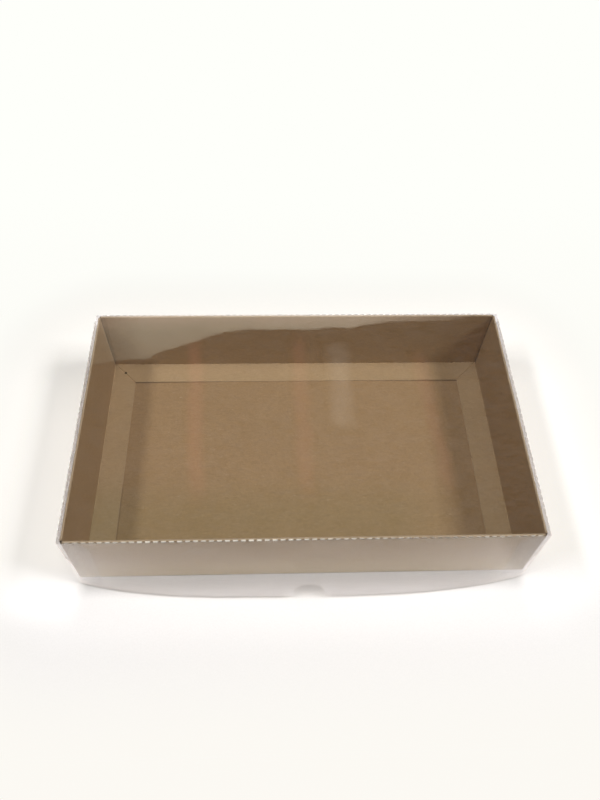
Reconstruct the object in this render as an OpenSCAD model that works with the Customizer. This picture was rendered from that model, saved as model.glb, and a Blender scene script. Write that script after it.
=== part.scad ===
// Kraft tray with rolled double walls under a clear lift-off lid of folded film.
// Origin: middle of the tray's underside, on the table. X runs along the box, Z is up.
// The thumb notch is in the lid's front wall, on the -Y side.

/* [Tray] */
// Outside length of the tray
tray_l = 310; // [200:1:400]
// Outside width of the tray
tray_w = 188.5; // [120:0.5:260]
// Outside height of the tray
tray_h = 58; // [35:1:90]
// Width of the flange that each rolled wall lays on the floor
flange_w = 18; // [8:1:30]
// Length of the corner tabs that the end walls fold into the long walls
tab_l = 24; // [12:1:40]
// Height between a corner tab's top and the underside of the rolled rim
tab_drop = 1.5; // [0.5:0.5:8]
// Taper of a corner tab's free end
tab_taper = 5; // [1:0.5:10]

/* [Board] */
// Thickness of the kraft board
board_t = 0.45; // [0.35:0.05:0.55]
// Inside radius of a crease
crease_r = 0.35; // [0.2:0.05:0.8]
// Space between the two layers of a rolled wall, at its rim
roll_gap = 0.6; // [0.6:0.1:2]
// Angle by which the inner layer leans in towards its foot
inner_lean = 1.75; // [0:0.25:3]
// Width of the open line along each mitred corner
mitre_gap = 0.5; // [0.3:0.1:1.2]
// Distance by which the small hole where two rims meet cuts into their tips
rim_nick = 0.15; // [0.1:0.05:0.5]

/* [Lid] */
// Thickness of the clear film
film_t = 0.3; // [0.2:0.05:0.5]
// Space between the tray's end walls and the lid's, at the top
end_clear = 1.9; // [0.4:0.1:4]
// Space between the tray's long walls and the lid's, at the top
side_clear = 0.4; // [0.3:0.1:4]
// Height of the lid's corners above the table, before they spread
lid_lift = 0.8; // [0:0.1:6]
// Distance by which the long walls' bulge draws the lid's corners in at the foot
corner_in = 4.1; // [0:0.1:5]
// Distance by which the foot of the lid's corners spreads to the front and back
corner_out = 3.8; // [0:0.1:6]
// Distance by which a long wall's foot bulges past its corners at its middle
long_bow = 12.5; // [4:0.5:24]
// Fullness of the long walls' bulge: 2 is a parabola, more is flatter at the middle
long_power = 3.2; // [2:0.1:5]
// Distance by which an end wall's foot stands outside its top crease
end_swell = 0.3; // [0:0.1:4]
// Fullness of the end walls' bulge, which wraps the tray's corners
end_power = 24; // [20:1:40]
// Stretch of an end wall beside each corner in which it bends round the tray
wrap_w = 14; // [10:1:24]

/* [Glue tabs] */
// Width of the film tabs that join the lid's walls at the corners
glue_w = 18; // [8:1:30]
// Height that a glue tab keeps clear of the top crease and of the foot
glue_inset = 2; // [1:0.5:6]
// Taper of a glue tab's free side at its top and foot
glue_taper = 5; // [1:0.5:10]

/* [Perforated creases] */
// Length of one cut in a perforated crease
cut_l = 3; // [1:0.5:5]
// Distance from one cut to the next
cut_pitch = 5; // [3:0.5:10]
// Width that a cut opens on each side of the crease
cut_w = 0.5; // [0.4:0.05:1]
// Stretch at each end of a crease that is left uncut
cut_margin = 4; // [2:0.5:12]

/* [Thumb notch] */
// Width of the thumb notch in the front wall's foot
notch_w = 22; // [14:1:40]
// Height of the thumb notch
notch_h = 12; // [12:1:24]
// Distance of the notch's middle to the right of the wall's middle
notch_shift = 2.7; // [-60:0.1:60]

/* [Hidden] */

arc_steps = 7;
long_steps = 20;
end_steps = 4;
glue_steps = 3;
wrap_steps = 5;
slack = 1;

// Rolled wall, seen along it: u runs inwards from the wall's outer face, z up
crease_out = crease_r + board_t;
rim_r = board_t + roll_gap / 2;
leg_h = tray_h - rim_r;
foot_z = 2 * board_t + crease_r;
lean_dir = [cos(inner_lean), sin(inner_lean)];
leg_run = (leg_h + (rim_r + crease_r) * lean_dir.y - foot_z) / lean_dir.x;
foot_c = [rim_r, leg_h] + (rim_r + crease_r) * lean_dir + leg_run * [lean_dir.y, -lean_dir.x];
flange_u = foot_c.x + flange_w;
mitre_u = mitre_gap / sqrt(2);
rim_hole_r = norm([rim_r - mitre_u, rim_r]) + rim_nick;

// Lid
lid_l = tray_l + 2 * (end_clear + film_t);
lid_w = tray_w + 2 * (side_clear + film_t);
lid_top = tray_h + film_t;
skirt_h = tray_h - lid_lift;
end_bow = corner_in + end_swell;
notch_r = notch_w / 2;
notch_out = corner_out + long_bow;
notch_z = tray_h - sqrt(skirt_h * skirt_h - notch_out * notch_out) + notch_h - notch_r;

// Grid that the lid's walls and its glue tabs share: distances from a corner, and heights down the wall
glue_start = 4 * film_t;
glue_runs = [for (i = [0 : glue_steps]) glue_start + (glue_w - glue_start) * i / glue_steps];
wrap_runs = [for (i = [1 : wrap_steps]) wrap_w * i / wrap_steps];
glue_top = glue_inset / skirt_h;
glue_side = (glue_inset + glue_taper) / skirt_h;
levels = [0, glue_top, glue_side, 1 - glue_side, 1 - glue_top, 1];

function arc(c, r, from, to) =
    [for (i = [0 : arc_steps]) let (a = from + (to - from) * i / arc_steps) c + r * [cos(a), sin(a)]];

// Outline of a panel folded from flat board: one face out, the other face back
function board(face, back) = concat(face, [for (i = [len(back) - 1 : -1 : 0]) back[i]]);

module kraft() { color([0.67, 0.57, 0.44]) children(); }
module film() { color([0.9, 0.92, 0.94, 0.35]) children(); }

// Extrudes an outline in (u, z) along X, with u running towards +Y
module along_x(length) {
    rotate([90, 0, 90]) linear_extrude(length, center = true) children();
}

// Bottom crease and outer layer of a wall
module outer_panel(length) {
    c = [crease_out, crease_out];
    along_x(length) polygon(board(
        concat(arc(c, crease_out, 270, 180), [[0, leg_h]]),
        concat(arc(c, crease_r, 270, 180), [[board_t, leg_h]])));
}

// Rim, inner layer, foot crease and flange of a wall, mitred to meet its neighbours
module roll(length) {
    rim_c = [rim_r, leg_h];
    foot_a = 180 + inner_lean;
    difference() {
        intersection() {
            along_x(length) polygon(board(
                concat(arc(rim_c, rim_r, 180, inner_lean), arc(foot_c, crease_r, foot_a, 270),
                    [[flange_u, 2 * board_t]]),
                concat(arc(rim_c, rim_r - board_t, 180, inner_lean), arc(foot_c, crease_out, foot_a, 270),
                    [[flange_u, board_t]])));
            mitre(length);
        }
        for (side = [0, 1]) mirror([side, 0, 0]) rim_hole(length);
    }
}

// Block with 45 degree ends that the roll of one wall keeps to
module mitre(length) {
    half = length / 2 - mitre_u;
    deep = flange_u + slack;
    linear_extrude(tray_h + slack)
        polygon([[-half - slack, -slack], [half + slack, -slack], [half - deep, deep], [deep - half, deep]]);
}

// Corner tab at the right end of the front wall: folded from the end wall, glued inside the long wall
module corner_tab() {
    low = crease_out + board_t;
    high = leg_h - tab_drop;
    c = [-crease_out, board_t + crease_out];
    intersection() {
        translate([0, 0, low]) linear_extrude(high - low) polygon(board(
            concat(arc(c, crease_out, 0, -90), [[-tab_l, board_t]]),
            concat(arc(c, crease_r, 0, -90), [[-tab_l, 2 * board_t]])));
        translate([0, tab_l, 0]) rotate([90, 0, 0]) linear_extrude(2 * tab_l) polygon([
            [slack, low], [-tab_l + tab_taper, low], [-tab_l, low + tab_taper],
            [-tab_l, high - tab_taper], [-tab_l + tab_taper, high], [slack, high]]);
    }
}

// Hole through the rim at the left end of a wall
module rim_hole(length) {
    translate([-length / 2 + rim_r, rim_r, leg_h - rim_r])
        cylinder(r = rim_hole_r, h = 2 * rim_r + slack, $fn = 24);
}

module tray_floor() {
    translate([crease_out - tray_l / 2, crease_out - tray_w / 2, 0])
        cube([tray_l - 2 * crease_out, tray_w - 2 * crease_out, board_t]);
}

module tray() {
    end_panel = tray_w - 2 * (board_t + crease_out);
    kraft() union() {
        tray_floor();
        for (turn = [0, 180]) rotate(turn) {
            translate([0, -tray_w / 2, 0]) {
                outer_panel(tray_l - 2 * crease_out);
                roll(tray_l);
            }
            rotate(90) translate([0, -tray_l / 2, 0]) {
                outer_panel(end_panel);
                roll(tray_w);
            }
            for (side = [0, 1]) mirror([side, 0, 0])
                translate([tray_l / 2, -tray_w / 2, 0]) corner_tab();
        }
    }
}

// Bulge of a wall at place t, from -1 to 1 along it
function bulge(t, bow, power) = bow * (1 - pow(abs(t), power));

// Point on a wall: t along it, s from 0 at the top crease to 1 at the foot, inset from its outer face.
// Walls are numbered from the front one, anticlockwise: 0 front, 1 right, 2 back, 3 left.
function wall_point(wall, t, s, inset) =
    let (
        long = wall % 2 == 0,
        bow = long ? bulge(t, long_bow, long_power) : bulge(t, end_bow, end_power),
        half_x = lid_l / 2 - inset - corner_in * s,
        half_y = lid_w / 2 - inset + corner_out * s,
        out = long ? corner_out + bow : bow - corner_in,
        z = tray_h - s * sqrt(skirt_h * skirt_h - out * out),
        across = (long ? half_y : half_x) + s * bow,
        along = t * (long ? half_x : half_y)
    )
    wall == 0 ? [along, -across, z]
    : wall == 1 ? [across, along, z]
    : wall == 2 ? [-along, across, z]
    : [-across, -along, z];

// Places along a wall: close together within the given runs of its two corners, even between them
function places(length, runs, steps) =
    let (near = [for (run = runs) 2 * run / length - 1], first = near[len(near) - 1])
    concat([-1], near, [for (i = [1 : steps - 1]) first * (1 - 2 * i / steps)],
        [for (i = [len(near) - 1 : -1 : 0]) -near[i]]);

long_places = places(lid_l, glue_runs, long_steps);
end_places = places(lid_w, wrap_runs, end_steps);

// Ring of points round the four walls at height s
function skirt_ring(s, inset) = [
    for (wall = [0 : 3]) for (t = wall % 2 == 0 ? long_places : end_places) wall_point(wall, t, s, inset)];

// Splits quads in two along the diagonal from their first corner
function halves(quads) = [for (q = quads) each [[q[0], q[1], q[2]], [q[0], q[2], q[3]]]];

// The same faces seen from the other side, on points counted from shift on
function reversed(faces, shift) = [for (f = faces) [for (i = [len(f) - 1 : -1 : 0]) f[i] + shift]];

// The four walls of the lid as one bowed sheet, its two faces split along the same diagonals
module skirt() {
    n = 2 * (len(long_places) + len(end_places));
    rows = len(levels) - 1;
    inner = n * len(levels);
    points = [for (inset = [0, film_t]) for (s = levels) each skirt_ring(s, inset)];
    outer_faces = halves([
        for (r = [0 : rows - 1]) for (i = [0 : n - 1]) let (j = (i + 1) % n)
            [r * n + i, r * n + j, (r + 1) * n + j, (r + 1) * n + i]]);
    edges = halves([
        for (i = [0 : n - 1]) let (j = (i + 1) % n, foot = rows * n) each [
            [i, inner + i, inner + j, j],
            [foot + i, foot + j, inner + foot + j, inner + foot + i]]]);
    polyhedron(points, concat(outer_faces, reversed(outer_faces, inner), edges));
}

// Glue tab at one end of a long wall, bonded to its inner face and narrower at its top and foot
module glue_tab(wall, end) {
    rows = len(levels) - 2;
    n = glue_steps + 1;
    inner = n * rows;
    points = [
        for (inset = [film_t / 2, 2 * film_t])
        for (r = [1 : rows])
        for (i = [0 : glue_steps])
            let (
                step = end < 0 ? i : glue_steps - i,
                width = glue_w - (r == 1 || r == rows ? glue_taper : 0),
                run = glue_start + (width - glue_start) * step / glue_steps
            )
            wall_point(wall, end * (1 - 2 * run / lid_l), levels[r], inset)];
    face = halves([
        for (r = [0 : rows - 2]) for (i = [0 : glue_steps - 1])
            [r * n + i, r * n + i + 1, (r + 1) * n + i + 1, (r + 1) * n + i]]);
    rim = concat(
        [for (i = [0 : glue_steps - 1]) i],
        [for (r = [0 : rows - 2]) r * n + glue_steps],
        [for (i = [glue_steps : -1 : 1]) inner - n + i],
        [for (r = [rows - 1 : -1 : 1]) r * n]);
    sides = halves([
        for (i = [0 : len(rim) - 1]) let (j = (i + 1) % len(rim))
            [rim[j], rim[i], rim[i] + inner, rim[j] + inner]]);
    polyhedron(points, concat(face, reversed(face, inner), sides));
}

module top_panel() {
    translate([-lid_l / 2, -lid_w / 2, tray_h]) cube([lid_l, lid_w, film_t]);
}

// Row of cuts through the front crease of a lid whose crease has this length and depth behind it
module cuts(length, across) {
    count = floor((length - 2 * cut_margin - cut_l) / cut_pitch) + 1;
    for (i = [0 : count - 1])
        translate([(i - (count - 1) / 2) * cut_pitch - cut_l / 2, -across / 2 - slack, lid_top - cut_w])
            cube([cut_l, slack + cut_w, cut_w + slack]);
}

// Round-topped notch through the front wall's foot
module thumb_notch() {
    reach = notch_out + side_clear;
    translate([notch_shift, -tray_w / 2 - film_t, 0]) rotate([90, 0, 0]) {
        translate([0, notch_z, 0]) cylinder(r = notch_r, h = reach + slack, $fn = 64);
        translate([-notch_r, -slack, 0]) cube([notch_w, notch_z + slack, reach + slack]);
    }
}

module lid() {
    film() difference() {
        union() {
            top_panel();
            skirt();
            for (wall = [0, 2], end = [-1, 1]) glue_tab(wall, end);
        }
        for (turn = [0, 180]) rotate(turn) {
            cuts(lid_l, lid_w);
            rotate(90) cuts(lid_w, lid_l);
        }
        thumb_notch();
    }
}

tray();
lid();
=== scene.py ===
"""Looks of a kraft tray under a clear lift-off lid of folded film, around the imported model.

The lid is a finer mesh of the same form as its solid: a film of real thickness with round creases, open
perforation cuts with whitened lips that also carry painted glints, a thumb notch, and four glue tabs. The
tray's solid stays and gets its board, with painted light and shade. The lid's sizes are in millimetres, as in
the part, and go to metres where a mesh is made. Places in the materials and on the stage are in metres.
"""

import math
from collections import namedtuple
from functools import reduce

import bmesh
import bpy
from mathutils import Matrix, Vector, noise


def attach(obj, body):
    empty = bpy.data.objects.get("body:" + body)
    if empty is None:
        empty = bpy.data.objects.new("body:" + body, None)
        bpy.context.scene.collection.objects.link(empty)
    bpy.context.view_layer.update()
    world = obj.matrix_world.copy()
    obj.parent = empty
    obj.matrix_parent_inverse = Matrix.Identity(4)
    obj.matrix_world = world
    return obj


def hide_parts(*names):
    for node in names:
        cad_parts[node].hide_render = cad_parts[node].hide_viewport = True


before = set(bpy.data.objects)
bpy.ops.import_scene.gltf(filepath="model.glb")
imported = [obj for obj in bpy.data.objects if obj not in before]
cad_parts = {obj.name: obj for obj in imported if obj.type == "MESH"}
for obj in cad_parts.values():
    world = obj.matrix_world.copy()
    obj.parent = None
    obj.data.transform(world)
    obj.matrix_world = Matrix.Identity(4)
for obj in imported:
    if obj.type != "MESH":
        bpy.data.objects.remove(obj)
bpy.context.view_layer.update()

MM = 0.001

# Lid, as in the part
LID_X, LID_Y = 314.4 / 2, 189.9 / 2
TRAY_H, FILM, SKIRT = 58.0, 0.3, 57.2
TOP = TRAY_H + FILM
CORNER_IN, CORNER_OUT = 4.1, 3.8
LONG_BOW, LONG_POWER = 12.5, 3.2
END_BOW, END_POWER = CORNER_IN + 0.3, 24.0
CUT_L, CUT_PITCH, CUT_MARGIN = 3.0, 5.0, 4.0
NOTCH_X, NOTCH_R, NOTCH_H = 2.7, 11.0, 12.0
GLUE_W, GLUE_START, GLUE_INSET, GLUE_TAPER = 18.0, 1.2, 2.0, 5.0
# Outer radius of the film's creases, and the strip beside a cut that its blade whitened and where glints are
# painted
CREASE, LIP = 0.42, 0.34
# Angles round a crease, from level to upright; a cut is open from the third to the fourth
ARC = (90.0, 74.0, 58.0, 32.0, 16.0)
OPEN_FROM = 2
# Rows down a wall, as shares of its height
ROWS = (0.0, 0.008, 0.03, 0.07, 0.13, 0.2, 0.28, 0.37, 0.46, 0.55, 0.64, 0.73, 0.81, 0.88, 0.94, 0.98, 1.0)
# A glue tab's top and foot and the height of its taper, as shares of a wall's height
GLUE_TOP, GLUE_FOOT, TAPER_H = GLUE_INSET / SKIRT, 1 - GLUE_INSET / SKIRT, GLUE_TAPER / SKIRT
# Even rows and columns of a glue tab's mesh
GLUE_ROWS, GLUE_COLUMNS = 18, 10
# Places nearer than this along a crease are one, and folds sharper than this angle are shaded as edges
SAME_PLACE, SHARP = 0.02, math.radians(38)
# Material of the film's whitened faces, which also carry painted glints
WHITENED_AND_GLINT = 1

# Places on the board that its material goes by, in metres. The first two are heights: above what lies flat,
# and where the walls' upright faces end
FLAT_TOP, UPRIGHT_TOP = 0.002, 0.0572
FLOOR_X, FLOOR_Y, FLOOR_FACE = 0.1345, 0.0738, (0.0003, 0.0006)
FLANGE_X, FLANGE_Y, FLANGE_FACE = 0.1336, 0.0729, (0.00035, 0.00095)
# The flanges' cut edges, across x and y, and the floor beside the back and the left flange's free edges,
# where a shadow line is painted
EDGE_X, EDGE_Y = (0.13330, 0.13346), (0.07255, 0.07271)
BESIDE_BACK, BESIDE_LEFT = (0.0717, 0.0727), (-0.1334, -0.1325)
# Just inside the end walls and the back wall, and inside the long walls' and the front wall's outer faces
END_WALL_X, BACK_WALL_Y, LONG_FACE_Y, FRONT_FACE_Y = 0.1498, 0.0880, 0.09395, -0.0937
# Heights of the hem under the rims' folds, where a shade line is painted, of the folds' worn part, and of the
# rims' open tips
HEM, FOLD, TIP = (0.0556, 0.0571), (0.0569, 0.0579), (0.0563, 0.0576)
# Middles of the rims' open tips, whose hollows get painted shade, and of the fleck, their radii, and how dark
# they are
TIP_X, TIP_Y, TIP_R = 0.15425, 0.0935, 0.00125
FLECK_X, FLECK_Y, FLECK_R, DARK = -0.1425, 0.0821, 0.0013, 0.9
# The line of a mitre, where x less y is this, and half the width that the mitre's gap is given
MITRE, MITRE_HALF = 0.06075, 0.00045
# Half the box's length and width, for the table's shades, and where along x its ends begin and are passed
BOX_X, BOX_Y = 0.155, 0.0943
SIDE = (0.147, 0.157)

# Camera of the photograph, its place in millimetres
CAM = Vector((-20.860, -282.896, 480.116))
PITCH, ROLL, YAW, FOCAL = 0.958174, -0.0459114, -0.0664331, 718.56
IMAGE_W, SENSOR = 600, 36

# Stage, in metres
TABLE_HALF, TABLE_Z = 4, -0.0002
LAMP_AIM, LAMP_COLOUR = (0, 0, 0.03), (1.0, 0.985, 0.965)
BOARD_Y, BOARD_FOOT, STRIP_Z = 1.0, 0.5, 2.5


def ramp(v, a, b):
    return min(1.0, max(0.0, (v - a) / (b - a)))


def smooth(v):
    return v * v * (3 - 2 * v)


def wave(x, y, z, size, seed):
    """Smooth noise from -1 to 1 with bumps of about this size."""
    return noise.noise(Vector((x / size + seed, y / size + 3.7 * seed, z / size - seed)))


# Node helpers


class Nodes:
    """A material's or world's node tree, with a short way to add and join nodes."""

    def __init__(self, tree):
        self.tree = tree
        tree.nodes.clear()

    def add(self, kind, **settings):
        node = self.tree.nodes.new(kind)
        for name, value in settings.items():
            setattr(node, name, value)
        return node

    def join(self, source, target):
        self.tree.links.new(source, target)

    def fill(self, socket, v):
        """Give a socket a number, a colour or what another node puts out."""
        if isinstance(v, (int, float)):
            socket.default_value = v
        elif isinstance(v, tuple):
            socket.default_value = (*v, 1.0)
        else:
            self.join(v, socket)

    def filled(self, kind, inputs):
        """A new node with these inputs, by name."""
        node = self.add(kind)
        for name, v in inputs.items():
            self.fill(node.inputs[name], v)
        return node

    def place(self):
        return self.add("ShaderNodeTexCoord").outputs["Object"]

    def axes(self, place):
        parts = self.add("ShaderNodeSeparateXYZ")
        self.join(place, parts.inputs[0])
        return tuple(parts.outputs)

    def value(self, operation, a, b=None):
        node = self.add("ShaderNodeMath", operation=operation)
        for socket, v in zip(node.inputs, (a, b)):
            if v is not None:
                self.fill(socket, v)
        return node.outputs[0]

    def absolute(self, v):
        return self.value("ABSOLUTE", v)

    def product(self, *values):
        return reduce(lambda a, b: self.value("MULTIPLY", a, b), values)

    def total(self, *values):
        return reduce(lambda a, b: self.value("ADD", a, b), values)

    def above(self, v, low):
        """1 where v is more than low."""
        return self.value("GREATER_THAN", v, low)

    def below(self, v, high):
        """1 where v is less than high."""
        return self.value("LESS_THAN", v, high)

    def between(self, v, low, high):
        """1 where v lies between low and high."""
        return self.product(self.above(v, low), self.below(v, high))

    def blend(self, share, a, b):
        """Number that goes from a to b as share goes from 0 to 1."""
        return self.total(self.product(self.value("SUBTRACT", 1.0, share), a), self.product(share, b))

    def map(self, v, a, b, to_a=0.0, to_b=1.0, kind="LINEAR"):
        node = self.add("ShaderNodeMapRange", interpolation_type=kind)
        self.join(v, node.inputs["Value"])
        for name, number in (("From Min", a), ("From Max", b), ("To Min", to_a), ("To Max", to_b)):
            node.inputs[name].default_value = number
        return node.outputs["Result"]

    def ease(self, v, a, b, to_a=0.0, to_b=1.0):
        """As map, with a soft start and end."""
        return self.map(v, a, b, to_a, to_b, "SMOOTHSTEP")

    def mix(self, share, a, b, blend="MIX"):
        """Two colours mixed; a Mix node has its colours on inputs 6 and 7 and on output 2."""
        node = self.add("ShaderNodeMix", data_type="RGBA", blend_type=blend)
        for i, v in ((0, share), (6, a), (7, b)):
            self.fill(node.inputs[i], v)
        return node.outputs[2]

    def times(self, colour, by):
        """A colour multiplied by another one or by a number."""
        return self.mix(1.0, colour, by, "MULTIPLY")

    def shade(self, colour, share, tint):
        """A colour that takes on a tint by this share."""
        return self.mix(share, colour, self.times(colour, tint))

    def noise(self, place, scale, detail, rough, warp=0.0):
        inputs = {"Vector": place, "Scale": scale, "Detail": detail, "Roughness": rough, "Distortion": warp}
        return self.filled("ShaderNodeTexNoise", inputs).outputs["Fac"]

    def stretch(self, place, x, y, z):
        node = self.add("ShaderNodeMapping")
        self.join(place, node.inputs["Vector"])
        node.inputs["Scale"].default_value = (x, y, z)
        return node.outputs["Vector"]

    def bump(self, height, distance, strength, under=None):
        node = self.filled("ShaderNodeBump", {"Height": height, "Distance": distance, "Strength": strength})
        if under is not None:
            self.join(under, node.inputs["Normal"])
        return node.outputs["Normal"]

    def shader(self, kind, inputs):
        return self.filled(kind, inputs).outputs[0]

    def mix_shader(self, share, a, b):
        node = self.add("ShaderNodeMixShader")
        for socket, v in zip(node.inputs, (share, a, b)):
            self.join(v, socket)
        return node.outputs[0]

    def surface(self, shader):
        self.join(shader, self.add("ShaderNodeOutputMaterial").inputs["Surface"])


def material(name):
    m = bpy.data.materials.new(name)
    m.use_nodes = True
    return m, Nodes(m.node_tree)


# Kraft board

# A point's place: x, y and height, and how far it is from the box's middle lengthways and crossways
Place = namedtuple("Place", "x y z wide deep")


def board_place(n, place):
    x, y, z = n.axes(place)
    return Place(x, y, n.absolute(z), n.absolute(x), n.absolute(y))


def kraft_colour(n, place, at, fine, cloud):
    """Smoother outer face on walls and flanges, browner inner face on the floor, blotches and flecks."""
    broad = n.noise(n.stretch(place, 6, 14, 20), 1.0, 2.0, 0.5, 0.2)
    bits = n.noise(n.stretch(place, 420, 1300, 1300), 1.0, 2.0, 0.5, 1.5)
    outer = n.mix(n.map(fine, 0.36, 0.66), (0.432, 0.304, 0.159), (0.508, 0.364, 0.196))
    inner = n.mix(n.map(fine, 0.36, 0.66), (0.345, 0.226, 0.108), (0.408, 0.271, 0.134))
    on_floor = n.product(n.between(at.z, *FLOOR_FACE), n.below(at.wide, FLOOR_X), n.below(at.deep, FLOOR_Y))
    board = n.mix(on_floor, outer, inner)
    board = n.shade(board, n.map(cloud, 0.3, 0.7, 0.0, 0.36), (0.86, 0.84, 0.80))
    board = n.shade(board, n.map(broad, 0.35, 0.65, 0.0, 0.35), (1.07, 1.06, 1.05))
    board = n.mix(n.map(bits, 0.66, 0.74, 0.0, 0.45), board, (0.235, 0.145, 0.075))
    return n.mix(n.map(bits, 0.335, 0.26, 0.0, 0.4), board, (0.66, 0.53, 0.37))


def kraft_tints_and_painted_light(n, board, at):
    """Painted shade and light: the upright walls darker, the end walls more, the back wall lighter and cooler
    except at its right end, the floor and flanges darker towards the front, less so on the right, a dark line
    on the hem under the rims' folds, and the front wall's outer face lighter near its foot. Besides these,
    lighter along the open mitres and the back flange darker towards its right."""
    flat_part = n.below(at.z, FLAT_TOP)
    upright = n.between(at.z, FLAT_TOP, UPRIGHT_TOP)
    end_wall = n.product(upright, n.above(at.wide, END_WALL_X))
    back_wall = n.product(upright, n.above(at.y, BACK_WALL_Y), n.map(at.x, 0.100, 0.145, 1.0, 0.0))
    front_half = n.product(flat_part, n.ease(at.y, -0.005, -0.055), n.map(at.x, 0.070, 0.120, 1.0, 0.25))
    hem = n.product(n.between(at.z, *HEM), n.above(at.deep, LONG_FACE_Y))
    front_foot = n.product(n.map(at.z, 0.030, 0.006), n.below(at.y, FRONT_FACE_Y))
    flange_right = n.product(n.map(at.x, 0.0, 0.085), flat_part, n.above(at.y, 0.0726))
    off_mitre = n.absolute(n.value("SUBTRACT", n.value("SUBTRACT", at.wide, at.deep), MITRE))
    in_mitre = n.product(n.below(off_mitre, MITRE_HALF), n.below(at.z, 0.00088), n.above(at.wide, 0.1335))
    # Painted shade on the walls, the end walls, the front of the floor and flanges and the hem; painted light
    # on the back wall and the front wall's foot; the mitres and the back flange are tinted too
    for share, tint in (
        (upright, (0.93, 0.900, 0.875)), (end_wall, (0.87, 0.860, 0.830)), (back_wall, (1.08, 1.13, 1.19)),
        (front_half, (0.865, 0.925, 0.875)), (hem, (0.80, 0.79, 0.78)), (front_foot, (1.13, 1.205, 1.15)),
        (in_mitre, (1.28, 1.27, 1.25)), (flange_right, (0.91, 0.90, 0.885)),
    ):
        board = n.shade(board, share, tint)
    return board


def kraft_edges(n, board, at, cross):
    """The rims' folds are rubbed lighter, and the flanges' cut edges are paler."""
    rim = n.ease(at.z, *FOLD)
    worn = n.product(rim, n.map(cross, 0.35, 0.62, 0.35, 0.75))
    board = n.mix(worn, board, (0.430, 0.350, 0.245))
    edge_x = n.product(n.between(at.wide, *EDGE_X), n.below(at.deep, FLANGE_Y))
    edge_y = n.product(n.between(at.deep, *EDGE_Y), n.below(at.wide, FLANGE_X))
    cut = n.product(n.value("MAXIMUM", edge_x, edge_y), n.between(at.z, *FLANGE_FACE))
    return n.mix(n.product(cut, 0.35), board, (0.600, 0.460, 0.310))


def kraft_painted_shadow_lines(n, board, at):
    """Painted shadow line beside the back flange's free edge towards its ends, and beside the left one's near
    the front.
    """
    below_back = n.product(n.between(at.y, *BESIDE_BACK), n.map(at.wide, 0.060, 0.130, 0.04, 0.62))
    below_left = n.product(n.between(at.x, *BESIDE_LEFT), n.map(at.y, -0.010, -0.035, 0.0, 0.25))
    near_floor = n.product(n.below(at.z, 0.00085), n.below(at.wide, FLANGE_X))
    below = n.product(n.value("MAXIMUM", below_back, below_left), near_floor)
    return n.mix(below, board, (0.060, 0.035, 0.016))


def kraft_spot(n, board, offset, z, heights, radius):
    """A dark round spot between two heights; offset is how far x and y are from its middle."""
    from_middle = n.add("ShaderNodeCombineXYZ")
    for socket, v in zip(from_middle.inputs, offset):
        n.join(v, socket)
    length = n.add("ShaderNodeVectorMath", operation="LENGTH")
    n.join(from_middle.outputs[0], length.inputs[0])
    inside = n.product(n.map(length.outputs["Value"], radius, radius * 0.7), n.between(z, *heights))
    return n.mix(n.product(inside, DARK), board, (0.045, 0.028, 0.014))


def kraft_spots(n, board, at):
    """Painted shade in the open tips of the four rims, and a fleck on the back left mitre."""
    tips = n.value("SUBTRACT", at.wide, TIP_X), n.value("SUBTRACT", at.deep, TIP_Y)
    board = kraft_spot(n, board, tips, at.z, TIP, TIP_R)
    fleck = n.value("SUBTRACT", at.x, FLECK_X), n.value("SUBTRACT", at.y, FLECK_Y)
    return kraft_spot(n, board, fleck, at.z, (0.0, FLAT_TOP), FLECK_R)


def kraft_material():
    """Solid kraft board with long fibres, flecks, soft blotches and pale cut edges, and painted light and
    shade.
    """
    m, n = material("kraft_board")
    place = n.place()
    at = board_place(n, place)

    # Fibres lie mostly along the sheet's length
    fibres = n.noise(n.stretch(place, 260, 900, 900), 1.0, 5.0, 0.62, 0.4)
    cross = n.noise(n.stretch(place, 900, 330, 620), 1.0, 4.0, 0.6, 0.6)
    fine = n.total(n.product(fibres, 0.6), n.product(cross, 0.4))
    cloud = n.noise(place, 38.0, 4.0, 0.6, 0.5)

    board = kraft_colour(n, place, at, fine, cloud)
    board = kraft_tints_and_painted_light(n, board, at)
    board = kraft_edges(n, board, at, cross)
    board = kraft_painted_shadow_lines(n, board, at)
    board = kraft_spots(n, board, at)

    soft = n.bump(cloud, 0.00025, 0.25)
    n.surface(n.shader("ShaderNodeBsdfPrincipled", {
        "Base Color": board,
        "Roughness": n.map(fine, 0.3, 0.7, 0.86, 0.66),
        "Specular IOR Level": 0.28,
        "Normal": n.bump(fine, 0.00006, 0.55, soft),
    }))
    return m


# Film


def film_material(name, least, most):
    """Clear film: lets light through with a faint cool tint, and mirrors more the flatter it is seen, from
    least to most of the light."""
    m, n = material(name)
    place = n.place()
    weight = n.add("ShaderNodeLayerWeight")
    weight.inputs["Blend"].default_value = 0.5
    mirror = n.map(n.value("POWER", weight.outputs["Facing"], 5.0), 0.0, 1.0, least, most)
    ripple = n.noise(n.stretch(place, 9, 16, 16), 1.0, 2.0, 0.45, 0.3)
    dust = n.noise(n.stretch(place, 120, 260, 200), 1.0, 4.0, 0.65, 0.8)

    clear = n.shader("ShaderNodeBsdfTransparent", {"Color": (0.956, 0.954, 0.962)})
    gloss = n.shader("ShaderNodeBsdfGlossy", {
        "Color": (0.98, 0.955, 0.96),
        "Roughness": n.map(dust, 0.35, 0.7, 0.012, 0.05),
        "Normal": n.bump(ripple, 0.0010, 0.35),
    })
    haze = n.shader("ShaderNodeBsdfDiffuse", {"Color": (0.80, 0.79, 0.83)})
    n.surface(n.mix_shader(n.map(dust, 0.35, 0.75, 0.002, 0.016), n.mix_shader(mirror, clear, gloss), haze))
    return m


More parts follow.
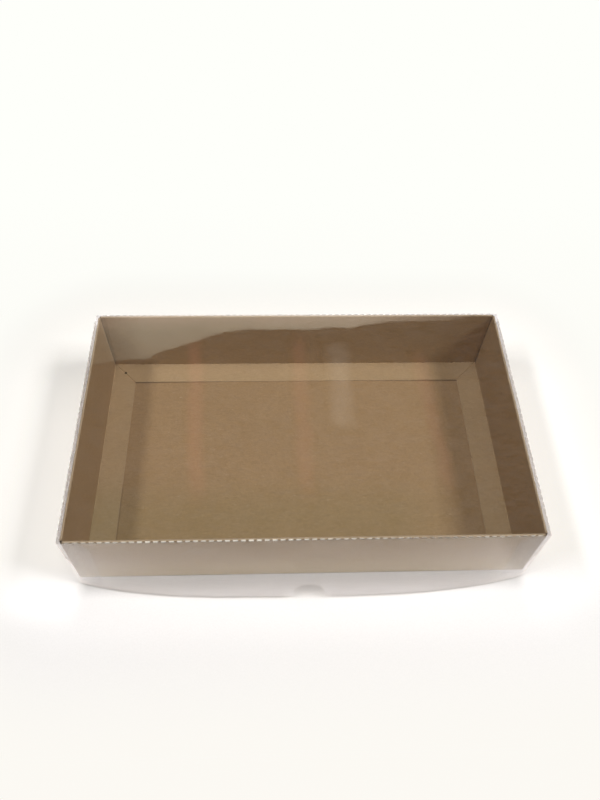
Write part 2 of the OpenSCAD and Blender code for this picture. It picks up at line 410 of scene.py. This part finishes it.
def lip_material():
    """Film that a blade has whitened, beside the perforation cuts and on their edges; the whiteness is partly
    a painted glint, fading towards the right and towards the left end.
    """
    m, n = material("whitened_film_and_glint")
    place = n.place()
    x = n.axes(place)[0]
    grain = n.noise(n.stretch(place, 1800, 1800, 1800), 1.0, 3.0, 0.6)
    clear = n.shader("ShaderNodeBsdfTransparent", {"Color": (0.93, 0.93, 0.94)})
    frost_and_glint = n.shader("ShaderNodeBsdfPrincipled", {
        "Base Color": n.mix(n.map(grain, 0.35, 0.65), (0.84, 0.78, 0.68), (0.97, 0.93, 0.84)),
        "Roughness": n.map(grain, 0.3, 0.7, 0.25, 0.5),
        "Normal": n.bump(grain, 0.00008, 0.6),
    })
    # Painted glint: less white towards the right and towards the left end
    glint_fade = n.product(n.map(x, -0.045, 0.050, 1.0, 0.36), n.map(x, -0.135, -0.110, 0.45, 1.0))
    uneven = n.map(n.noise(place, 60.0, 2.0, 0.6), 0.38, 0.62, 0.55, 1.0)
    white = n.product(uneven, glint_fade, n.map(grain, 0.3, 0.7, 0.75, 1.0))
    n.surface(n.mix_shader(white, clear, frost_and_glint))
    return m


# Table


def gap_from_box(n, x, y):
    """How far a point of the table is from the box's outline."""
    past = [n.value("SUBTRACT", n.absolute(v), half) for v, half in ((x, BOX_X), (y, BOX_Y))]
    beside = [n.value("MAXIMUM", v, 0.0) for v in past]
    return n.value("SQRT", n.total(*(n.product(v, v) for v in beside)))


def table_gain(n, x, y, gap):
    """Share of its light that the table shows the camera: low close to the box, a painted shade, and unlike
    by side, with painted light beside the box's left end that lightens its shadow there.
    """
    aside = n.ease(n.absolute(x), *SIDE)
    front = n.ease(y, -0.092, -0.102)
    ahead_of_all = n.ease(y, -0.070, -0.140)
    ahead = n.ease(gap, 0.001, 0.0165, 0.70, 1.045)
    behind = n.ease(gap, 0.002, 0.028, 0.81, 1.195)
    close = n.blend(aside, n.blend(front, behind, ahead), n.blend(ahead_of_all, 1.20, 1.045))
    left = n.product(
        n.ease(x, -0.150, -0.165), n.map(y, 0.03, 0.08, 0.25, 0.09),
        n.ease(x, -0.185, -0.225, 1.0, 0.0), n.ease(n.absolute(y), 0.085, 0.135, 1.0, 0.0),
    )
    fade_behind, fade_ahead = n.ease(gap, 0.035, 0.13, 0.0, -0.21), n.ease(gap, 0.03, 0.06, 0.0, -0.05)
    fade = n.blend(ahead_of_all, fade_behind, fade_ahead)
    return n.total(close, left, fade, n.ease(y, 0.06, 0.11, 0.0, -0.08))


def table_spill(n, x, gap):
    """Share of the table's light that the film mirrors: double near the box, and less to its right."""
    more = n.value("SUBTRACT", n.ease(gap, 0.03, 0.13, 2.0, 1.0), 1.0)
    return n.total(1.0, n.product(more, n.map(x, *SIDE, 1.0, 0.4)))


def floor_material():
    """Pale table, shown brighter than its light is, as an overexposed photograph has it, and evenly pale far
    away."""
    m, n = material("table")
    place = n.place()
    x, y, _ = n.axes(place)
    path = n.add("ShaderNodeLightPath")
    gap = gap_from_box(n, x, y)
    grain = n.noise(place, 900.0, 3.0, 0.6)
    shades = n.mix(n.map(grain, 0.3, 0.7), (0.832, 0.820, 0.794), (0.872, 0.860, 0.833))
    bright = n.times(shades, table_gain(n, x, y, gap))
    # A painted cool tint on the table in front of the box, standing in for the film's tint and reflection
    shown_shades = n.mix(n.map(y, -0.080, -0.105), bright, n.times(bright, (1.0, 1.003, 1.04)))
    far_shades = n.mix(n.map(y, -0.10, 0.30), (0.974, 0.950, 0.900), (0.992, 1.0, 0.957))

    lit = n.shader("ShaderNodeBsdfDiffuse", {"Color": shades})
    seen = n.shader("ShaderNodeBsdfDiffuse", {"Color": shown_shades})
    mirrored = n.shader("ShaderNodeBsdfDiffuse", {"Color": n.times(shades, table_spill(n, x, gap))})
    distant = n.shader("ShaderNodeEmission", {"Color": far_shades})
    plain = n.mix_shader(path.outputs["Is Glossy Ray"], lit, mirrored)
    shown = n.mix_shader(n.ease(gap, 0.028, 0.115), seen, distant)
    n.surface(n.mix_shader(path.outputs["Is Camera Ray"], plain, shown))
    return m


# Staged lights that the film mirrors


def board_material(name):
    """Light of the staged board: strong and warm low down, weaker and paler higher up, weaker at its ends."""
    m, n = material(name)
    x, _, z = n.axes(n.place())
    colour = n.mix(n.map(z, 1.08, 1.15), (1.0, 0.84, 0.67), (1.0, 0.98, 0.76))
    rows = n.total(n.map(z, 1.07, 1.15, 2.75, 1.5), n.map(z, 1.15, 1.26, 0.0, -0.35))
    ends = n.product(n.map(x, -0.490, -0.370, 0.32, 1.0), n.map(x, 0.20, 0.42, 1.0, 0.35))
    n.surface(n.shader("ShaderNodeEmission", {"Color": colour, "Strength": n.product(rows, ends)}))
    return m


def streak_material(name, colour, strength):
    """Soft-edged light of a staged strip whose own coordinates run from -1 to 1."""
    m, n = material(name)
    x, y, _ = n.axes(n.place())
    across, along = (n.ease(n.absolute(v), start, 1.0, 1.0, 0.0) for v, start in ((x, 0.1), (y, 0.6)))
    glow = {"Color": colour, "Strength": n.product(across, along, strength)}
    n.surface(n.shader("ShaderNodeEmission", glow))
    return m


# The lid's form


def bulge(t, bow, power):
    return bow * (1 - abs(t) ** power)


def outward(wall):
    return ((0, -1), (1, 0), (0, 1), (-1, 0))[wall]


def turn(wall, along, across):
    """Point of a wall, at a place along it and a distance out. Walls go anticlockwise from the front one."""
    return ((along, -across), (across, along), (-along, across), (-across, -along))[wall]


def station(wall, t):
    """A line down a wall at t, from -1 to 1 along it: crease centre, direction out, tilt and foot."""
    long = wall % 2 == 0
    bow = bulge(t, LONG_BOW, LONG_POWER) if long else bulge(t, END_BOW, END_POWER)
    spread, tuck = (CORNER_OUT, CORNER_IN) if long else (-CORNER_IN, -CORNER_OUT)
    half, depth = (LID_X, LID_Y) if long else (LID_Y, LID_X)
    out = spread + bow
    foot_z = TRAY_H - math.sqrt(SKIRT * SKIRT - out * out)
    return {
        "centre": turn(wall, t * (half - CREASE), depth - CREASE),
        "out": outward(wall),
        "tilt": math.asin(out / SKIRT),
        "foot": (*turn(wall, t * (half - CREASE - tuck), depth + out), foot_z),
        "t": t,
        "reach": 1.0,
    }


def corner_station(a, b, share):
    """A line down the round corner between the last line of one wall and the first of the next."""
    angle = share * math.pi / 2
    (ax, ay), (bx, by) = a["out"], b["out"]
    out = (ax * math.cos(angle) + bx * math.sin(angle), ay * math.cos(angle) + by * math.sin(angle))
    pivot = (a["foot"][0] - CREASE * ax, a["foot"][1] - CREASE * ay)
    foot_z = a["foot"][2] + share * (b["foot"][2] - a["foot"][2])
    return {
        "centre": a["centre"],
        "out": out,
        "tilt": a["tilt"] + share * (b["tilt"] - a["tilt"]),
        "foot": (pivot[0] + CREASE * out[0], pivot[1] + CREASE * out[1], foot_z),
        "t": 1.0,
        "reach": 1.0,
    }


def crease_point(line, angle, depth):
    """Point on a line's crease; depth is how far inside the film's outer face it lies."""
    r = CREASE - depth
    c, s = r * math.cos(angle), r * math.sin(angle)
    return (line["centre"][0] + c * line["out"][0], line["centre"][1] + c * line["out"][1], TOP - CREASE + s)


def wall_point(line, s, depth):
    """Point at s down a line, from 0 at the crease to 1 at the foot, on the film's slightly wavy face."""
    start = crease_point(line, line["tilt"], 0)
    p = [a + s * (b - a) for a, b in zip(start, line["foot"])]
    c = math.cos(line["tilt"])
    normal = (c * line["out"][0], c * line["out"][1], math.sin(line["tilt"]))
    calm = smooth(min(1.0, (1 - abs(line["t"])) * 6)) * smooth(ramp(s, 0.0, 0.25))
    lift = calm * (0.28 * wave(p[0], p[1], p[2], 46, 2.3) + 0.16 * wave(p[0], p[1], 2 * p[2], 19, 5.1) * s)
    return tuple(a + (lift - depth) * b for a, b in zip(p, normal))


def top_height(x, y):
    """Height of the top panel's outer face: it sags a little between the rims, in shallow waves."""
    u, v = 1 - (x / LID_X) ** 2, 1 - (y / LID_Y) ** 2
    calm = smooth(ramp(u, 0.0, 0.25)) * smooth(ramp(v, 0.0, 0.3))
    return TOP - 0.25 * u * v + calm * 0.07 * wave(x, 1.4 * y, 0, 62, 9.4)


def cut_places(length):
    """Start and end of each perforation cut along a crease of this length."""
    count = int((length - 2 * CUT_MARGIN - CUT_L) // CUT_PITCH) + 1
    middles = [(i - (count - 1) / 2) * CUT_PITCH for i in range(count)]
    return [(p - CUT_L / 2, p + CUT_L / 2) for p in middles]


def crease_places(length, extra=()):
    """Places along a crease: the ends of the cuts, a few towards the corners, and the extra ones."""
    half = length / 2 - CREASE
    cuts = [p for pair in cut_places(length) for p in pair]
    ends = [half - run for run in (0, LIP, 1.2, 2.2, 3.2)]
    found = []
    for p in sorted([*cuts, *ends, *(-e for e in ends), *extra]):
        if not found or p - found[-1] > SAME_PLACE:
            found.append(p)
    return found


def notch_places():
    """Places along the front crease above the notch, close together towards its two sides."""
    share = (LID_X - CREASE) / (LID_X - CREASE - CORNER_IN)
    sides = [NOTCH_R * math.sin(a * math.pi / 32) for a in range(-16, 17)]
    return [share * (NOTCH_X + s) for s in (*sides, -NOTCH_R - 0.06, NOTCH_R + 0.06)]


def notch_reach(line):
    """How far down the front wall a line goes before it meets the notch, as a share of the wall's height."""
    x = line["foot"][0] - NOTCH_X
    if abs(x) > NOTCH_R + 0.02:
        return 1.0
    return 1 - (NOTCH_H - NOTCH_R + math.sqrt(max(0.0, NOTCH_R**2 - x * x))) / (TRAY_H - line["foot"][2])


# The lid's meshes


def make_object(name, mesh_data, body):
    """A mesh object in metres from bmesh, its normals outwards and its folds smooth."""
    bmesh.ops.recalc_face_normals(mesh_data, faces=mesh_data.faces)
    for f in mesh_data.faces:
        f.smooth = True
    for e in mesh_data.edges:
        e.smooth = len(e.link_faces) == 2 and e.calc_face_angle() < SHARP
    mesh = bpy.data.meshes.new(name)
    mesh_data.to_mesh(mesh)
    mesh_data.free()
    obj = bpy.data.objects.new(name, mesh)
    bpy.context.scene.collection.objects.link(obj)
    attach(obj, body)
    return obj


def new_point(b, point):
    """A vertex in metres at a point in millimetres."""
    return b.verts.new([c * MM for c in point])


def skirt_lines(places, is_cut):
    """Lines down all walls and round corners, with their corners on the top's grid and the cuts after."""
    right, back = len(places[0]) - 1, len(places[1]) - 1
    walls = []
    for wall in range(4):
        half = (LID_X if wall % 2 == 0 else LID_Y) - CREASE
        walls.append([station(wall, p / half) for p in places[wall]])
    for line in walls[0]:
        line["reach"] = notch_reach(line)
    lines = []
    for wall, stations in enumerate(walls):
        last = len(stations) - 1
        for i, line in enumerate(stations):
            line["corner"] = ((i, 0), (right, i), (right - i, back), (0, back - i))[wall]
            line["cut_after"] = i < last and is_cut(wall, i)
            lines.append(line)
        for share in (0.25, 0.5, 0.75):
            rounded = corner_station(stations[-1], walls[(wall + 1) % 4][0], share)
            rounded["corner"] = stations[-1]["corner"]
            rounded["cut_after"] = False
            lines.append(rounded)
    return lines


def add_top(b, xs, ys, depth, is_cut):
    """One face of the top panel, whitened where it meets a cut. Returns its grid of vertices."""
    grid = {}
    for i, x in enumerate(xs):
        for j, y in enumerate(ys):
            grid[i, j] = new_point(b, (x, y, top_height(x, y) - depth))
    right, back = len(xs) - 2, len(ys) - 2
    for i in range(right + 1):
        for j in range(back + 1):
            face = b.faces.new((grid[i, j], grid[i + 1, j], grid[i + 1, j + 1], grid[i, j + 1]))
            lip = (j == 0 and is_cut(0, i)) or (j == back and is_cut(2, right - i))
            lip = lip or (i == right and is_cut(1, j)) or (i == 0 and is_cut(3, back - j))
            face.material_index = WHITENED_AND_GLINT if lip else 0
    return grid


def add_skirt(b, lines, grid, depth):
    """One face of the creases and walls, left open at the cuts. Returns each line's column of vertices."""
    columns = []
    for line in lines:
        column = [grid[line["corner"]]]
        column += [new_point(b, crease_point(line, math.radians(a), depth)) for a in ARC[1:]]
        column += [new_point(b, wall_point(line, s * line["reach"], depth)) for s in ROWS]
        columns.append(column)
    for line, here, there in zip(lines, columns, columns[1:] + columns[:1]):
        for r in range(len(here) - 1):
            if r == OPEN_FROM and line["cut_after"]:
                continue
            # Round a corner the first row's two upper vertices are one
            corners = list(dict.fromkeys((here[r], there[r], there[r + 1], here[r + 1])))
            face = b.faces.new(corners)
            face.material_index = WHITENED_AND_GLINT if line["cut_after"] and r <= len(ARC) else 0
    return columns


def add_edges(b, lines, outer, inner):
    """The film's thickness: round the foot, and whitened on the four edges of each open cut."""
    upper, lower = OPEN_FROM, OPEN_FROM + 1
    for i, line in enumerate(lines):
        j = (i + 1) % len(lines)
        b.faces.new((outer[i][-1], outer[j][-1], inner[j][-1], inner[i][-1]))
        if not line["cut_after"]:
            continue
        for r in (upper, lower):
            b.faces.new((outer[i][r], outer[j][r], inner[j][r], inner[i][r])).material_index = WHITENED_AND_GLINT
        for k, open_beside in ((i, lines[i - 1]["cut_after"]), (j, lines[j]["cut_after"])):
            if not open_beside:
                quad = (outer[k][upper], outer[k][lower], inner[k][lower], inner[k][upper])
                b.faces.new(quad).material_index = WHITENED_AND_GLINT


def film_mesh():
    """The whole lid as one folded sheet of film, cut open at its perforations."""
    xs = crease_places(2 * LID_X, notch_places())
    ys = crease_places(2 * LID_Y)
    cuts = cut_places(2 * LID_X), cut_places(2 * LID_Y)
    # The back wall has the front one's places unmirrored, so near its middle, where the notch's places are
    # off centre, its lines start up to 5.4 mm beside their own corners of the top
    places = [xs, ys, xs, ys]

    def is_cut(wall, i):
        middle = (places[wall][i] + places[wall][i + 1]) / 2
        return any(a < middle < b for a, b in cuts[wall % 2])

    lines = skirt_lines(places, is_cut)
    b = bmesh.new()
    sides = []
    for depth in (0.0, FILM):
        grid = add_top(b, xs, ys, depth, is_cut)
        sides.append(add_skirt(b, lines, grid, depth))
    add_edges(b, lines, *sides)
    return b


def glue_layer(b, wall, end, rows, depth):
    """One face of a glue tab: rows of vertices, shorter where the tab tapers."""
    layer = []
    for s in rows:
        full = min(1.0, (s - GLUE_TOP) / TAPER_H, (GLUE_FOOT - s) / TAPER_H)
        width = GLUE_W - GLUE_TAPER * (1 - full)
        row = []
        for i in range(GLUE_COLUMNS + 1):
            run = GLUE_START + (width - GLUE_START) * i / GLUE_COLUMNS
            row.append(new_point(b, wall_point(station(wall, end * (1 - run / LID_X)), s, depth)))
        layer.append(row)
    for upper, lower in zip(layer, layer[1:]):
        for i in range(GLUE_COLUMNS):
            b.faces.new((upper[i], upper[i + 1], lower[i + 1], lower[i]))
    return layer


def glue_mesh():
    """Four tabs bonded inside the long walls' ends, narrower at their tops and feet."""
    b = bmesh.new()
    even = {round(GLUE_TOP + (GLUE_FOOT - GLUE_TOP) * i / GLUE_ROWS, 5) for i in range(GLUE_ROWS + 1)}
    rows = sorted(even | {round(GLUE_TOP + TAPER_H, 5), round(GLUE_FOOT - TAPER_H, 5)})
    last, side = len(rows) - 1, GLUE_COLUMNS
    rim = [(0, i) for i in range(side)] + [(r, side) for r in range(last)]
    rim += [(last, i) for i in range(side, 0, -1)] + [(r, 0) for r in range(last, 0, -1)]
    for wall in (0, 2):
        for end in (-1, 1):
            outer, inner = (glue_layer(b, wall, end, rows, depth) for depth in (FILM + 0.02, 2 * FILM))
            for (r, i), (r2, i2) in zip(rim, rim[1:] + rim[:1]):
                b.faces.new((outer[r][i], outer[r2][i2], inner[r2][i2], inner[r][i]))
    return b


# The object

film, bonded = film_material("clear_film", 0.05, 1.0), film_material("bonded_film", 0.010, 0.10)
lips, kraft = lip_material(), kraft_material()

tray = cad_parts["tray"]
for socket in tray.material_slots:
    socket.material = kraft

sheet = make_object("lid_film", film_mesh(), "lid")
sheet.data.materials.append(film)
sheet.data.materials.append(lips)

tabs = make_object("lid_glue_tabs", glue_mesh(), "lid")
tabs.data.materials.append(bonded)
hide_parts("lid")

# Stage, light and camera


def flat(name, corners, mat):
    """A flat staged polygon, its corners in metres."""
    mesh = bpy.data.meshes.new(name)
    mesh.from_pydata(corners, [], [list(range(len(corners)))])
    mesh.materials.append(mat)
    obj = bpy.data.objects.new(name, mesh)
    bpy.context.scene.collection.objects.link(obj)
    return obj


def square(half, z):
    return [(-half, -half, z), (half, -half, z), (half, half, z), (-half, half, z)]


def lamp(name, place, size, power):
    """A soft lamp of this size and power that shines on the box."""
    light = bpy.data.lights.new(name, "AREA")
    light.shape = "RECTANGLE"
    light.size, light.size_y = size
    light.energy = power
    light.color = LAMP_COLOUR
    obj = bpy.data.objects.new(name, light)
    obj.location = place
    away = (Vector(place) - Vector(LAMP_AIM)).normalized()
    side = Vector((0, 1, 0)).cross(away).normalized()
    obj.rotation_euler = Matrix((side, away.cross(side), away)).transposed().to_euler()
    bpy.context.scene.collection.objects.link(obj)
    return obj


def light_world():
    """A dim even room, pale to the camera. The film mirrors a pale horizon with a dark room above it."""
    world = bpy.data.worlds.new("studio")
    bpy.context.scene.world = world
    world.use_nodes = True
    n = Nodes(world.node_tree)
    path = n.add("ShaderNodeLightPath")
    rise = n.axes(n.add("ShaderNodeTexCoord").outputs["Generated"])[2]
    mirrored_room = n.mix(n.ease(rise, 0.12, 0.36), (0.60, 0.59, 0.57), (0.05, 0.045, 0.045))
    room = n.mix(path.outputs["Is Glossy Ray"], (0.10, 0.098, 0.095), mirrored_room)
    colour = n.mix(path.outputs["Is Camera Ray"], room, (0.945, 0.95, 0.93))
    sky = n.shader("ShaderNodeBackground", {"Color": colour})
    n.join(sky, n.add("ShaderNodeOutputWorld").inputs["Surface"])


def bright_board():
    """A white board behind the table, its upper edge uneven."""
    edge = [
        (-0.64, 1.324), (-0.535, 1.283), (-0.472, 1.272), (-0.368, 1.276), (-0.277, 1.219), (-0.149, 1.157),
        (0.056, 1.150), (0.192, 1.131), (0.352, 1.102), (0.486, 1.086), (0.62, 1.074),
    ]
    feet = [(edge[-1][0], BOARD_FOOT), (edge[0][0], BOARD_FOOT)]
    return flat("bright_board", [(x, BOARD_Y, z) for x, z in edge + feet], board_material("bright_board"))


def streak(name, x, y, half_w, half_l, lean, colour, strength):
    """A faint light of the room's ceiling: its middle, half width, half length, lean and light."""
    strip = flat(name, square(1, 0), streak_material(name, colour, strength))
    scale = Matrix.Diagonal((half_w, half_l, 1, 1))
    strip.matrix_world = Matrix.Translation((x, y, STRIP_Z)) @ Matrix.Rotation(lean, 4, "Z") @ scale
    return strip


def photo_camera():
    """The photograph's camera, from its place, its pitch below level, its roll and its yaw."""
    data = bpy.data.cameras.new("camera")
    data.sensor_fit = "HORIZONTAL"
    data.sensor_width = SENSOR
    data.lens = FOCAL * SENSOR / IMAGE_W
    data.clip_start, data.clip_end = 0.01, 50
    camera = bpy.data.objects.new("camera", data)
    bpy.context.scene.collection.objects.link(camera)
    unturn = Matrix.Rotation(YAW, 3, "Z")
    right = Vector((1, 0, 0))
    up = Vector((0, math.sin(PITCH), math.cos(PITCH)))
    forward = Vector((0, math.cos(PITCH), -math.sin(PITCH)))
    cr, sr = math.cos(ROLL), math.sin(ROLL)
    axes = [unturn @ (cr * right - sr * up), unturn @ (sr * right + cr * up), -(unturn @ forward)]
    camera.matrix_world = Matrix.Translation(CAM * MM) @ Matrix(axes).transposed().to_4x4()
    return camera


flat("table", square(TABLE_HALF, TABLE_Z), floor_material())
lamp("left_lamp", (-1.08, -0.12, 1.6), (0.20, 0.9), 14.7)
lamp("right_lamp", (1.31, -0.12, 1.6), (0.47, 0.9), 26.4)
lamp("overhead_lamp", (0, -0.3, 2.0), (0.8, 0.6), 9.6).visible_glossy = False
light_world()

# Only the film's mirror image shows these
for obj in (
    bright_board(),
    streak("pink_streak_a", -0.385, 1.66, 0.055, 0.50, 0.07, (1.0, 0.28, 0.22), 0.50),
    streak("pink_streak_b", 0.125, 1.66, 0.060, 0.50, 0.02, (1.0, 0.32, 0.26), 0.38),
    streak("pink_streak_c", 0.745, 1.60, 0.055, 0.45, 0.06, (1.0, 0.25, 0.25), 0.30),
    streak("pale_streak", 0.310, 1.78, 0.085, 0.27, 0.02, (1.0, 0.98, 0.88), 0.50),
):
    obj.visible_camera = obj.visible_diffuse = obj.visible_shadow = obj.visible_transmission = False

bpy.context.scene.camera = photo_camera()
bpy.context.scene.view_settings.view_transform = "Standard"
